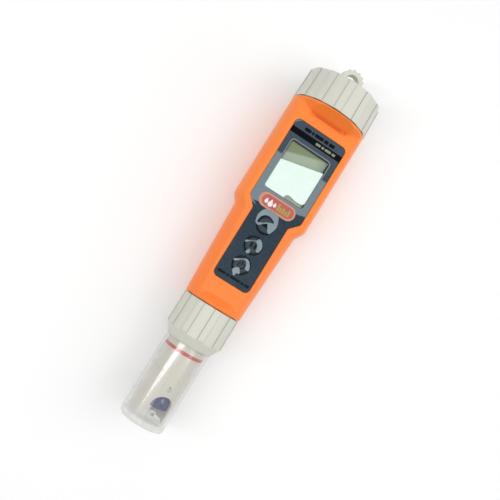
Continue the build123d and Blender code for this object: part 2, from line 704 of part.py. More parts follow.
with BuildPart() as cap_ribs:
    with BuildSketch(PROFILE):
        with BuildLine():
            FilletPolyline(
                (CAP_TOP, CAP_BORE),
                (CAP_TOP, CAP_TOP_RADIUS),
                (CAP_START, CAP_RADIUS),
                (CAP_START, CAP_BORE),
                radius=[CAP_EDGE_FILLET, 0.2],
            )
            Line((CAP_START, CAP_BORE), (CAP_TOP, CAP_BORE))
        make_face()
    revolve(axis=PEN_AXIS)
    with BuildSketch(across(CAP_START)):
        with PolarLocations(CAP_RADIUS, CAP_RIBS, start_angle=CAP_RIB_ANGLE):
            Rectangle(4 * CAP_RIB_HEIGHT, CAP_RIB_WIDTH)
    extrude(amount=CAP_TOP - CAP_START, mode=Mode.INTERSECT)

with BuildPart() as battery_cap:
    with BuildSketch(PROFILE):
        with BuildLine():
            FilletPolyline(
                (CAP_CEILING, 0),
                (CAP_CEILING, CAP_BORE),
                (CAP_START, CAP_BORE),
                (CAP_START, CAP_RADIUS - CAP_RIB_HEIGHT),
                (CAP_TOP, CAP_TOP_RADIUS - CAP_RIB_HEIGHT),
                (CAP_TOP, 0),
                radius=[0.4, 0.2, 0.2, CAP_EDGE_FILLET],
            )
            Line((CAP_TOP, 0), (CAP_CEILING, 0))
        make_face()
    revolve(axis=PEN_AXIS)
    add(cap_ribs.part)
    # hub inside the cap that centres the contact spring
    with BuildSketch(across(CAP_CEILING - CAP_HUB_DEPTH)):
        Circle(CAP_HUB_RADIUS)
    extrude(amount=CAP_HUB_DEPTH + 0.5)
    add(cap_thread)
    with BuildSketch(plan(-EYE_THICKNESS / 2)):
        with Locations((0, EYE_STATION)):
            Circle(EYE_RADIUS)
        for angle in LUMP_ANGLES:
            lump_x = LUMP_ORBIT * sin(radians(angle))
            with Locations((lump_x, EYE_STATION + LUMP_ORBIT * cos(radians(angle)))):
                Circle(LUMP_RADIUS)
        with Locations((0, EYE_STATION)):
            Circle(EYE_HOLE, mode=Mode.SUBTRACT)
        with Locations((0, (CAP_CEILING + EYE_STATION - EYE_HOLE) / 2)):
            Rectangle(2 * EYE_RADIUS, EYE_STATION - EYE_HOLE - CAP_CEILING)
    extrude(amount=EYE_THICKNESS)
battery_cap.part.label = "battery_cap"
export_step(battery_cap.part, "parts/battery_cap.step")

PLATE_RADIUS = 12.9
PLATE_HOLE = 2.4
PLATE_THICKNESS = 0.8
SPRING_START = 164.65
SPRING_RADIUS = 5.0
SPRING_WIRE = 0.7
SPRING_PITCH = 2.4
SPRING_TURNS = 4.2

cap_coil = coil_spring(SPRING_START, SPRING_RADIUS, SPRING_WIRE, SPRING_PITCH, SPRING_TURNS)

with BuildPart() as contact_plate:
    with BuildSketch(across(CELL_END + JOINT_GAP)):
        Circle(PLATE_RADIUS)
        Circle(PLATE_HOLE, mode=Mode.SUBTRACT)
    extrude(amount=PLATE_THICKNESS)
contact_plate.part.label = "contact_plate"
export_step(contact_plate.part, "parts/contact_plate.step")

with BuildPart() as contact_spring:
    add(cap_coil)
contact_spring.part.label = "contact_spring"
export_step(contact_spring.part, "parts/contact_spring.step")

# ---- buttons and switches -----------------------------------------------------------------------
BUTTON_RADIUS = 3.85
BUTTON_TOP = 10.45
FLANGE_TOP = FRONT_INNER - JOINT_GAP
FLANGE_BASE = FLANGE_TOP - 0.6
FLANGE_RADIUS = BUTTON_RADIUS + 0.9
STEM_RADIUS = 1.3
PLUNGER_RADIUS = 1.1
PLUNGER_TOP = 6.9
PLUNGER_BASE = 5.7
SWITCH_TOP = 6.3
SWITCH_SIDE = 6.0
SWITCH_WELL_RADIUS = 1.35
SWITCH_WELL_DEPTH = 1.9

for name, station in BUTTONS.items():
    with BuildPart() as button:
        with BuildSketch(plan(FLANGE_BASE)):
            with Locations((0, station)):
                Circle(FLANGE_RADIUS)
        extrude(amount=FLANGE_TOP - FLANGE_BASE)
        with BuildSketch(plan(FLANGE_BASE)):
            with Locations((0, station)):
                Circle(BUTTON_RADIUS)
        extrude(amount=BUTTON_TOP - FLANGE_BASE)
        fillet(button.edges().filter_by(GeomType.CIRCLE).sort_by(Axis.Z)[-1], radius=0.35)
        with BuildSketch(plan(PLUNGER_TOP)):
            with Locations((0, station)):
                Circle(STEM_RADIUS)
        extrude(amount=FLANGE_BASE - PLUNGER_TOP)
    button_name = f"{name}_button"
    button.part.label = button_name
    export_step(button.part, f"parts/{button_name}.step")

    with BuildPart() as plunger:
        with BuildSketch(plan(PLUNGER_BASE)):
            with Locations((0, station)):
                Circle(PLUNGER_RADIUS)
        extrude(amount=PLUNGER_TOP - PLUNGER_BASE)
    plunger_name = f"{name}_plunger"
    plunger.part.label = plunger_name
    export_step(plunger.part, f"parts/{plunger_name}.step")

    with BuildPart() as switch:
        with BuildSketch(plan(BOARD_TOP)):
            with Locations((0, station)):
                RectangleRounded(SWITCH_SIDE, SWITCH_SIDE, 0.4)
        extrude(amount=SWITCH_TOP - BOARD_TOP)
        with BuildSketch(plan(SWITCH_TOP)):
            with Locations((0, station)):
                Circle(SWITCH_WELL_RADIUS)
        extrude(amount=-SWITCH_WELL_DEPTH, mode=Mode.SUBTRACT)
    switch_name = f"{name}_switch"
    switch.part.label = switch_name
    export_step(switch.part, f"parts/{switch_name}.step")

# ---- electrode socket in the housing ------------------------------------------------------------
SOCKET_START = 58.2
SOCKET_RADIUS = 8.8
PIN_RADIUS = 0.5
PIN_WELL = 6.0
TERMINAL_LENGTH = 6.6

with BuildPart() as probe_socket:
    with BuildSketch(across(SOCKET_START)):
        Circle(SOCKET_RADIUS)
    extrude(amount=END_WALL_START - SOCKET_START)
    chamfer(probe_socket.edges().filter_by(GeomType.CIRCLE).sort_by(Axis.Y)[0], length=0.5)
    with BuildSketch(across(SOCKET_START)):
        with Locations(*PIN_PLACES):
            Circle(PIN_RADIUS + 0.06)
    extrude(amount=PIN_WELL, mode=Mode.SUBTRACT)
    with BuildSketch(across(SOCKET_START)):
        with Locations(*PIN_PLACES):
            Circle(TERMINAL_RADIUS)
    extrude(amount=END_WALL_START - SOCKET_START, mode=Mode.SUBTRACT)
probe_socket.part.label = "probe_socket"
export_step(probe_socket.part, "parts/probe_socket.step")

with BuildPart() as socket_terminals:
    with BuildSketch(across(SOCKET_START + PIN_WELL)):
        with Locations(*PIN_PLACES):
            Circle(TERMINAL_RADIUS)
    extrude(amount=TERMINAL_LENGTH)
socket_terminals.part.label = "socket_terminals"
export_step(socket_terminals.part, "parts/socket_terminals.step")

# ---- electrode module ---------------------------------------------------------------------------
PROBE_RADIUS = 9.0
PROBE_TIP = 4.6
GUARD_BORE = 7.6
WEB_START = 17.5
WEB_END = 20.0
FLANGE_START = 44.2
FLANGE_END = 46.6
PLUG_END = 57.0
TUBE_RADIUS = 2.8
CUP_SEAL_STATION = 36.75
CUP_SEAL_WIRE = 0.75
CUP_SEAL_RADIUS = 8.85
CHAMBER_END = 50.0
PIN_END = 63.4
PROBE_FLANGE_RADIUS = 11.0
PLUG_RADIUS = 8.9
CHAMBER_RADIUS = 7.4
GASKET_BORE = 9.3
GASKET_GAP = 0.05
WINDOW_AZIMUTH = 23.0
ARCH_WIDTH = 10.2
ARCH_STATION = 11.2
JUNCTION_OFFSET = 4.4
JUNCTION_RADIUS = 0.9
JUNCTION_START = 12.9
SEAL_SKIRT = (9.7, 5.4)
SEAL_SHELF = (13.1, 4.2)
SEAL_EDGE = 0.5
WIRE_RADIUS = 0.4
BULB_STATION = 9.0
BULB_RADIUS = 3.9
GLASS_WALL = 0.5
TUBE_END = 48.0


def guard_window_plane(azimuth):
    """Plane through the pen axis whose normal leans from the front face to the right by an angle."""
    lean = radians(azimuth)
    return Plane(
        origin=PROFILE.origin,
        x_dir=(cos(lean), 0, -sin(lean)),
        z_dir=(sin(lean), 0, cos(lean)),
    )


with BuildPart() as electrode_body:
    with BuildSketch(PROFILE):
        Polygon(
            (PROBE_TIP, GUARD_BORE),
            (PROBE_TIP, PROBE_RADIUS),
            (FLANGE_START, PROBE_RADIUS),
            (FLANGE_START, PROBE_FLANGE_RADIUS),
            (FLANGE_END, PROBE_FLANGE_RADIUS),
            (FLANGE_END, PLUG_RADIUS),
            (PLUG_END, PLUG_RADIUS),
            (PLUG_END, 0),
            (CHAMBER_END, 0),
            (CHAMBER_END, CHAMBER_RADIUS),
            (WEB_END, CHAMBER_RADIUS),
            (WEB_END, TUBE_RADIUS),
            (WEB_START, TUBE_RADIUS),
            (WEB_START, GUARD_BORE),
            align=None,
        )
    revolve(axis=PEN_AXIS)
    # groove for the cup's O-ring
    with BuildSketch(PROFILE):
        with Locations((CUP_SEAL_STATION, PROBE_RADIUS)):
            Rectangle(2 * CUP_SEAL_WIRE + 0.1, 2 * (PROBE_RADIUS - CUP_SEAL_RADIUS + CUP_SEAL_WIRE))
    revolve(axis=PEN_AXIS, mode=Mode.SUBTRACT)
    # two arched windows in the bulb guard, on opposite sides
    with BuildSketch(guard_window_plane(WINDOW_AZIMUTH)):
        with Locations((0, ARCH_STATION)):
            Circle(ARCH_WIDTH / 2)
        with Locations((0, ARCH_STATION / 2)):
            Rectangle(ARCH_WIDTH, ARCH_STATION)
    extrude(amount=PROBE_RADIUS + 1, both=True, mode=Mode.SUBTRACT)
    # holes for the contact pins and the junction
    with BuildSketch(across(CHAMBER_END)):
        with Locations(*PIN_PLACES):
            Circle(PIN_RADIUS)
    extrude(amount=PLUG_END - CHAMBER_END, mode=Mode.SUBTRACT)
    with BuildSketch(across(WEB_START)):
        with Locations((0, -JUNCTION_OFFSET)):
            Circle(JUNCTION_RADIUS)
    extrude(amount=WEB_END - WEB_START, mode=Mode.SUBTRACT)
electrode_body.part.label = "electrode_body"
export_step(electrode_body.part, "parts/electrode_body.step")

with BuildPart() as electrode_gasket:
    with BuildSketch(across(FLANGE_END)):
        Circle(PROBE_FLANGE_RADIUS)
        Circle(GASKET_BORE, mode=Mode.SUBTRACT)
    extrude(amount=LOWER_NECK_END - FLANGE_END - GASKET_GAP)
electrode_gasket.part.label = "electrode_gasket"
export_step(electrode_gasket.part, "parts/electrode_gasket.step")

with BuildPart() as electrode_pins:
    with BuildSketch(across(CHAMBER_END)):
        with Locations(*PIN_PLACES):
            Circle(PIN_RADIUS)
    extrude(amount=PIN_END - CHAMBER_END)
    chamfer(electrode_pins.edges().filter_by(GeomType.CIRCLE).group_by(Axis.Y)[-1], length=0.2)
electrode_pins.part.label = "electrode_pins"
export_step(electrode_pins.part, "parts/electrode_pins.step")

with BuildPart() as bulb_seal:
    with BuildSketch(PROFILE):
        Polygon(
            (SEAL_SKIRT[0] + SEAL_EDGE, GUARD_BORE),
            (SEAL_SKIRT[0], GUARD_BORE - SEAL_EDGE),
            SEAL_SKIRT,
            SEAL_SHELF,
            (SEAL_SHELF[0], TUBE_RADIUS),
            (WEB_START, TUBE_RADIUS),
            (WEB_START, GUARD_BORE),
            align=None,
        )
    revolve(axis=PEN_AXIS)
    with BuildSketch(across(SEAL_SKIRT[0])):
        with Locations((0, -JUNCTION_OFFSET)):
            Circle(JUNCTION_RADIUS)
    extrude(amount=WEB_START - SEAL_SKIRT[0], mode=Mode.SUBTRACT)
bulb_seal.part.label = "bulb_seal"
export_step(bulb_seal.part, "parts/bulb_seal.step")

with BuildPart() as glass_bulb:
    with BuildSketch(PROFILE):
        with Locations((BULB_STATION, 0)):
            Circle(BULB_RADIUS)
        with Locations(((BULB_STATION + TUBE_END) / 2, 0)):
            Rectangle(TUBE_END - BULB_STATION, 2 * TUBE_RADIUS)
        with Locations((BULB_STATION, 0)):
            Circle(BULB_RADIUS - GLASS_WALL, mode=Mode.SUBTRACT)
        with Locations((BULB_STATION, 0)):
            Rectangle(
                TUBE_END,
                2 * (TUBE_RADIUS - GLASS_WALL),
                align=(Align.MIN, Align.CENTER),
                mode=Mode.SUBTRACT,
            )
        # keep the half above the axis for the revolve
        Rectangle(2 * TUBE_END, CUTTER_HALF, align=(Align.CENTER, Align.MAX), mode=Mode.SUBTRACT)
    revolve(axis=PEN_AXIS)
glass_bulb.part.label = "glass_bulb"
export_step(glass_bulb.part, "parts/glass_bulb.step")

with BuildPart() as silver_wire:
    with BuildSketch(across(BULB_STATION)):
        Circle(WIRE_RADIUS)
    extrude(amount=CHAMBER_END - BULB_STATION)
silver_wire.part.label = "silver_wire"
export_step(silver_wire.part, "parts/silver_wire.step")

with BuildPart() as reference_junction:
    with BuildSketch(across(JUNCTION_START)):
        with Locations((0, -JUNCTION_OFFSET)):
            Circle(JUNCTION_RADIUS)
    extrude(amount=WEB_END + 1.0 - JUNCTION_START)
reference_junction.part.label = "reference_junction"
export_step(reference_junction.part, "parts/reference_junction.step")

with BuildPart() as cup_seal:
    with BuildSketch(PROFILE):
        with Locations((CUP_SEAL_STATION, CUP_SEAL_RADIUS)):
            Circle(CUP_SEAL_WIRE)
    revolve(axis=PEN_AXIS)
cup_seal.part.label = "cup_seal"
export_step(cup_seal.part, "parts/cup_seal.step")

# ---- collar: the ribbed nut that holds the electrode on the housing ------------------------------
COLLAR_START = 40.7
COLLAR_END = SHELL_START - JOINT_GAP
COLLAR_RADIUS = 14.0
COLLAR_BORE = 12.3
COLLAR_LIP_END = FLANGE_START - JOINT_GAP
COLLAR_RIBS = 10
COLLAR_RIB_ANGLE = 7.0
COLLAR_RIB_WIDTH = 2.9
COLLAR_RIB_HEIGHT = 0.45
COLLAR_BODY_RADIUS = COLLAR_RADIUS - COLLAR_RIB_HEIGHT
COLLAR_NOSE_RADIUS = 11.0
COLLAR_CONE_END = 45.7
COLLAR_CONE_SLOPE = (COLLAR_CONE_END - COLLAR_START) / (COLLAR_RADIUS - COLLAR_NOSE_RADIUS)
COLLAR_BODY_CONE_END = COLLAR_CONE_END - COLLAR_RIB_HEIGHT * COLLAR_CONE_SLOPE
COLLAR_MOUTH = PROBE_RADIUS + 0.4
COLLAR_THREAD_START = 51.2
COLLAR_THREAD_TURNS = 1.9

collar_thread = thread_ridge(COLLAR_BORE, -THREAD_HEIGHT, COLLAR_THREAD_START, COLLAR_THREAD_TURNS)

with BuildPart() as collar_ribs:
    with BuildSketch(PROFILE):
        Polygon(
            (COLLAR_BODY_CONE_END, COLLAR_BORE + 0.5),
            (COLLAR_BODY_CONE_END, COLLAR_BODY_RADIUS),
            (COLLAR_CONE_END, COLLAR_RADIUS),
            (COLLAR_END, COLLAR_RADIUS),
            (COLLAR_END, COLLAR_BORE + 0.5),
            align=None,
        )
    revolve(axis=PEN_AXIS)
    with BuildSketch(across(COLLAR_START)):
        with PolarLocations(COLLAR_RADIUS, COLLAR_RIBS, start_angle=COLLAR_RIB_ANGLE):
            Rectangle(4 * COLLAR_RIB_HEIGHT, COLLAR_RIB_WIDTH)
    extrude(amount=COLLAR_END - COLLAR_START, mode=Mode.INTERSECT)

with BuildPart() as electrode_collar:
    with BuildSketch(PROFILE):
        Polygon(
            (COLLAR_START, COLLAR_MOUTH),
            (COLLAR_START, COLLAR_NOSE_RADIUS),
            (COLLAR_BODY_CONE_END, COLLAR_BODY_RADIUS),
            (COLLAR_END, COLLAR_BODY_RADIUS),
            (COLLAR_END, COLLAR_BORE),
            (COLLAR_LIP_END, COLLAR_BORE),
            (COLLAR_LIP_END, COLLAR_MOUTH),
            align=None,
        )
    revolve(axis=PEN_AXIS)
    add(collar_ribs.part)
    add(collar_thread)
electrode_collar.part.label = "electrode_collar"
export_step(electrode_collar.part, "parts/electrode_collar.step")

# ---- storage cup ---------------------------------------------------------------------------------
CUP_RADIUS = 10.95
CUP_BORE = 9.65
CUP_RIM = COLLAR_START - JOINT_GAP
CUP_BASE = 3.0
CUP_MARKS = (18.7, 12.1, 5.8)
MARK_SIZE = (0.7, 3.0)
MARK_RISE = 0.25
MARK_ROOT = 0.55

with BuildPart() as storage_cup:
    with BuildSketch(PROFILE):
        with BuildLine():
            FilletPolyline(
                (0, 0),
                (0, CUP_RADIUS),
                (CUP_RIM, CUP_RADIUS),
                (CUP_RIM, CUP_BORE),
                (CUP_BASE, CUP_BORE),
                (CUP_BASE, 0),
                radius=[1.2, 0.3, 0.3, 1.0],
            )
            Line((CUP_BASE, 0), (0, 0))
        make_face()
    revolve(axis=PEN_AXIS)
    # three short raised level marks on the left side
    with BuildSketch(Plane.YZ.offset(-CUP_RADIUS - MARK_RISE)):
        with Locations(*[(mark - OVERALL_LENGTH / 2, AXIS_HEIGHT) for mark in CUP_MARKS]):
            Rectangle(MARK_SIZE[0], MARK_SIZE[1])
    extrude(amount=MARK_RISE + MARK_ROOT)
storage_cup.part.label = "storage_cup"
export_step(storage_cup.part, "parts/storage_cup.step")
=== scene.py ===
import json
import math

import bmesh
import bpy
from mathutils import Matrix, Vector


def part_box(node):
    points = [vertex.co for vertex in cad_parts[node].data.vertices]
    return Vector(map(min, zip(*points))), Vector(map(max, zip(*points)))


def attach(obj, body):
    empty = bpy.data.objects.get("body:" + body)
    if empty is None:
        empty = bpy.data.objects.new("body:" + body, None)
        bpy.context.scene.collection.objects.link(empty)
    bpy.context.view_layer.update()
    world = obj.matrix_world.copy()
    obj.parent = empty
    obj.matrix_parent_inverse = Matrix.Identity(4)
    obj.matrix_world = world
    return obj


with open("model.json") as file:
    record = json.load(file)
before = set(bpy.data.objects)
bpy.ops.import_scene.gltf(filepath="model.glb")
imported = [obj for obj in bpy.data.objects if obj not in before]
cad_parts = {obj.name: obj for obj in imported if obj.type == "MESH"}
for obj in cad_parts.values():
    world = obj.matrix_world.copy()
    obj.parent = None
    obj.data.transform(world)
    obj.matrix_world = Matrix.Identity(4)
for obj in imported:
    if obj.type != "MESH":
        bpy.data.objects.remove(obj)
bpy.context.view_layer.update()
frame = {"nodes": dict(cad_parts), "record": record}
NODES = frame["nodes"]
MM = 0.001

# ---- where things are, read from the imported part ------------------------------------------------
CUP_LOW, CUP_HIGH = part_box("storage_cup")
CUP_END_Y = CUP_LOW.y
AXIS_Z = (CUP_LOW.z + CUP_HIGH.z) / 2
LABEL_TOP_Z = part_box("front_label")[1].z
LENS_LOW, LENS_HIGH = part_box("display_window")
KEY_TOP_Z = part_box("mode_button")[1].z
KEY_RADIUS = 3.85
KEYS = {}
for key in ("mode", "hold", "power"):
    low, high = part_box(key + "_button")
    KEYS[key] = ((low.y + high.y) / 2 - CUP_END_Y) / MM


def along(station):
    """Frame Y of a station, in mm from the cup's closed end."""
    return CUP_END_Y + station * MM


# ---- shader graphs ------------------------------------------------------------------------------
def srgb(red, green, blue):
    """Scene-linear colour from 0-255 display values."""
    def linear(value):
        value /= 255
        return value / 12.92 if value <= 0.04045 else ((value + 0.055) / 1.055) ** 2.4
    return (linear(red), linear(green), linear(blue), 1.0)


def shade(colour, factor):
    return tuple(min(channel * factor, 1.0) for channel in colour[:3]) + (1.0,)


class Graph:
    """A principled material and the few node kinds that the looks below are made of."""

    def __init__(self, name, **sockets):
        self.material = bpy.data.materials.new(name)
        self.material.use_nodes = True
        self.tree = self.material.node_tree
        self.tree.nodes.clear()
        self.out = self.add("ShaderNodeOutputMaterial")
        self.bsdf = self.add("ShaderNodeBsdfPrincipled")
        self.link(self.bsdf.outputs[0], self.out.inputs["Surface"])
        self.place = self.add("ShaderNodeTexCoord").outputs["Object"]
        for socket, value in sockets.items():
            self.bsdf.inputs[socket.replace("_", " ")].default_value = value

    def add(self, kind, **settings):
        node = self.tree.nodes.new(kind)
        for key, value in settings.items():
            setattr(node, key, value)
        return node

    def link(self, source, target):
        self.tree.links.new(source, target)

    def feed(self, socket, value):
        if hasattr(value, "is_linked"):
            self.link(value, socket)
        else:
            socket.default_value = value

    def to(self, socket, source):
        self.link(source, self.bsdf.inputs[socket])

    def stretched(self, scale):
        node = self.add("ShaderNodeMapping")
        node.inputs["Scale"].default_value = scale
        self.link(self.place, node.inputs["Vector"])
        return node.outputs[0]

    def noise(self, size, detail=3.0, rough=0.5, stretch=None):
        """Cloudy noise whose features are about size metres across."""
        node = self.add("ShaderNodeTexNoise")
        node.inputs["Scale"].default_value = 1 / size
        node.inputs["Detail"].default_value = detail
        node.inputs["Roughness"].default_value = rough
        self.link(self.stretched(stretch) if stretch else self.place, node.inputs["Vector"])
        return node.outputs["Fac"]

    def cells(self, size):
        node = self.add("ShaderNodeTexVoronoi")
        node.inputs["Scale"].default_value = 1 / size
        self.link(self.place, node.inputs["Vector"])
        return node.outputs["Distance"]

    def axis(self, letter):
        node = self.add("ShaderNodeSeparateXYZ")
        self.link(self.place, node.inputs[0])
        return node.outputs[letter]

    def math(self, operation, first, second=0.0):
        node = self.add("ShaderNodeMath", operation=operation)
        self.feed(node.inputs[0], first)
        self.feed(node.inputs[1], second)
        return node.outputs[0]

    def span(self, value, low, high, start=0.0, end=1.0):
        """Smooth step from start at low to end at high."""
        node = self.add("ShaderNodeMapRange", interpolation_type="SMOOTHSTEP")
        self.feed(node.inputs[0], value)
        for socket, number in zip(node.inputs[1:5], (low, high, start, end)):
            self.feed(socket, number)
        return node.outputs[0]

    def mix(self, factor, first, second, blend="MIX"):
        node = self.add("ShaderNodeMix", data_type="RGBA", blend_type=blend)
        self.feed(node.inputs[0], factor)
        self.feed(node.inputs[6], first)
        self.feed(node.inputs[7], second)
        return node.outputs[2]

    def bump(self, height, depth, normal=None):
        node = self.add("ShaderNodeBump")
        node.inputs["Distance"].default_value = depth
        self.link(height, node.inputs["Height"])
        if normal:
            self.link(normal, node.inputs["Normal"])
        return node.outputs[0]


def moulded(name, colour, rough, grain=0.0004, depth=0.000006, mottle=0.05, dust=0.25, tint=None,
             rounding=0.0, crevice_shade=0.0, **sockets):
    """Moulded plastic or rubber: cloudy tone, fine grain, scuffed gloss, a few dust specks and optional
    painted shade darkening its crevices.
    """
    g = Graph(name, **sockets)
    tone = g.mix(g.noise(0.012), shade(colour, 1 - mottle), shade(colour, 1 + mottle))
    if tint:
        tone = tint(g, tone)
    specks = g.span(g.cells(0.0021), 0.05, 0.09, dust, 0.0)
    tone = g.mix(specks, tone, shade(colour, 0.7))
    # painted shade: darkens the tone where ambient occlusion finds crevices and rib feet
    if crevice_shade:
        nook = g.add("ShaderNodeAmbientOcclusion", samples=8)
        nook.inputs["Distance"].default_value = 0.0009
        tone = g.mix(g.span(nook.outputs["AO"], 0.55, 0.98, crevice_shade, 0.0), tone, shade(colour, 0.45))
    g.to("Base Color", tone)
    fine = g.noise(grain, 2.0)
    scuffs = g.noise(0.0009, 4.0, 0.65, (1.0, 0.12, 1.0))
    worn = g.span(scuffs, 0.35, 0.7, rough - 0.05, rough + 0.06)
    g.to("Roughness", g.math("ADD", worn, g.span(fine, 0.3, 0.7, -0.02, 0.02)))
    soft = None
    if rounding:
        edges = g.add("ShaderNodeBevel", samples=6)
        edges.inputs["Radius"].default_value = rounding
        soft = edges.outputs[0]
    g.to("Normal", g.bump(fine, depth, soft))
    return g.material


def metal(name, colour, rough, brushed=(1.0, 1.0, 1.0), **sockets):
    g = Graph(name, Metallic=1.0, **sockets)
    tone = g.mix(g.noise(0.004), shade(colour, 0.85), shade(colour, 1.05))
    stains = g.span(g.noise(0.0016, 4.0, 0.6), 0.58, 0.72, 0.0, 0.35)
    g.to("Base Color", g.mix(stains, tone, shade(colour, 0.55)))
    lines = g.noise(0.00025, 2.0, 0.5, brushed)
    g.to("Roughness", g.span(lines, 0.3, 0.7, rough - 0.06, rough + 0.08))
    g.to("Normal", g.bump(lines, 0.000004))
    return g.material


def clear(name, colour, rough, ior, depth=0.000004):
    """Glass or water with faint waviness and smears in its gloss."""
    g = Graph(name, Transmission_Weight=1.0, IOR=ior)
    g.to("Base Color", g.mix(g.noise(0.006), colour, shade(colour, 0.97)))
    smear = g.noise(0.0015, 4.0, 0.6, (1.0, 0.3, 1.0))
    g.to("Roughness", g.span(smear, 0.4, 0.75, rough, rough + 0.06))
    g.to("Normal", g.bump(g.noise(0.003, 2.0), depth))
    return g.material


# ---- looks of the CAD pieces --------------------------------------------------------------------
def orange_tone(g, tone):
    """Slightly deeper on the taper, with painted shade: dark red in narrow gaps and in the crease of the
    scoop, near-black round the key holes.
    """
    length = g.axis("Y")
    waist = g.span(length, along(104), along(112), 1.0, 0.0)
    tone = g.mix(waist, tone, srgb(250, 128, 50))
    # painted shade: dark red where ambient occlusion finds narrow gaps and recess walls, such as the seam
    # under the cap
    gap = g.add("ShaderNodeAmbientOcclusion", samples=8)
    gap.inputs["Distance"].default_value = 0.0014
    tone = g.mix(g.span(gap.outputs["AO"], 0.3, 0.75, 0.9, 0.0), tone, srgb(140, 34, 14))
    # painted shade: dark band along the crease at the foot of the scoop
    away = g.math("ABSOLUTE", g.math("SUBTRACT", length, along(157.9)))
    crease_shade = g.math("MULTIPLY", g.span(away, 0.0002, 0.0009, 0.7, 0.0),
                    g.span(g.math("ABSOLUTE", g.axis("X")), 0.0055, 0.0098, 1.0, 0.0))
    crease_shade = g.math("MULTIPLY", crease_shade, g.span(g.axis("Z"), AXIS_Z, AXIS_Z + 0.003))
    tone = g.mix(crease_shade, tone, srgb(196, 72, 22))
    # painted shade: near-black on the walls of the key holes
    for station in KEYS.values():
        away = g.math("SUBTRACT", length, along(station))
        sideways = g.math("MULTIPLY", g.axis("X"), g.axis("X"))
        reach = g.math("SQRT", g.math("ADD", g.math("MULTIPLY", away, away), sideways))
        tone = g.mix(g.span(reach, 0.0046, 0.0050, 1.0, 0.0), tone, srgb(16, 18, 24))
    return tone


def label_look():
    """Printed film: slate, with painted reflection: lighter towards the head, and lighter where the cover
    film has lifted round the display.
    """
    g = Graph("label_film", Specular_IOR_Level=0.2)
    across, length = g.axis("X"), g.axis("Y")
    # painted reflection: the slate lightens towards the head
    head_reflection = g.span(length, along(100), along(150))
    tone = g.mix(head_reflection, srgb(26, 47, 60), srgb(62, 76, 87))
    tone = g.mix(g.span(g.noise(0.010, 3.0), 0.3, 0.7, 0.0, 0.25), tone, srgb(52, 64, 77))
    # painted reflection: a lighter patch between the display and the badge, where the cover film has lifted
    below_top = g.span(length, along(134.3), along(135.3), 1.0, 0.0)
    lower = g.math("ADD", g.math("MULTIPLY", across, 0.241), along(113.3))
    above_low = g.span(g.math("SUBTRACT", length, lower), -0.0003, 0.0003)
    lifted_reflection = g.math("MULTIPLY", below_top, above_low)
    tone = g.mix(g.math("MULTIPLY", lifted_reflection, 0.92), tone, srgb(117, 132, 138))
    specks = g.span(g.cells(0.0017), 0.05, 0.09, 0.1, 0.0)
    g.to("Base Color", g.mix(specks, tone, srgb(110, 120, 126)))
    ripple = g.noise(0.004, 2.0)
    g.to("Normal", g.bump(g.noise(0.0003, 2.0), 0.000003, g.bump(ripple, 0.00002)))
    g.to("Roughness", g.span(g.noise(0.0014, 4.0), 0.35, 0.7, 0.26, 0.40))
    return g.material


def lcd_look():
    """Unpowered liquid-crystal panel: olive, with a painted reflection: pale below a diagonal line, greyer
    towards the right, palest towards the lower half.
    """
    g = Graph("lcd_panel", Specular_IOR_Level=0.3)
    across, length = g.axis("X"), g.axis("Y")
    # painted reflection: the diagonal line that bounds the pale glare
    first = g.math("SUBTRACT", length, g.math("MULTIPLY", across, 0.317))
    upper = g.span(first, along(139.5), along(141.0))
    tone = g.mix(upper, srgb(206, 214, 194), srgb(158, 166, 122))
    right_reflection = g.span(across, 0.0035, 0.0095)
    tone = g.mix(g.math("MULTIPLY", right_reflection, 0.7), tone, srgb(178, 184, 160))
    low = g.span(length, along(124), along(128), 1.0, 0.0)
    tone = g.mix(low, tone, srgb(222, 228, 202))
    weave = g.noise(0.0003, 2.0)
    g.to("Base Color", g.mix(g.span(weave, 0.3, 0.7, 0.0, 0.12), tone, srgb(150, 156, 140)))
    g.to("Roughness", g.span(weave, 0.3, 0.7, 0.35, 0.45))
    return g.material


def lens_look():
    """Thin clear window: mostly see-through, with a mirror sheen that grows at grazing angles."""
    g = Graph("clear_lens", IOR=1.49)
    smear = g.noise(0.002, 4.0, 0.6, (1.0, 0.3, 1.0))
    through = g.add("ShaderNodeBsdfTransparent")
    through.inputs[0].default_value = (0.96, 0.98, 0.97, 1.0)
    g.to("Roughness", g.span(smear, 0.4, 0.75, 0.03, 0.10))
    g.bsdf.inputs["Base Color"].default_value = srgb(200, 210, 205)
    fresnel = g.add("ShaderNodeFresnel")
    fresnel.inputs["IOR"].default_value = 1.49
    both = g.add("ShaderNodeMixShader")
    g.link(fresnel.outputs[0], both.inputs[0])
    g.link(through.outputs[0], both.inputs[1])
    g.link(g.bsdf.outputs[0], both.inputs[2])
    g.link(both.outputs[0], g.out.inputs["Surface"])
    return g.material


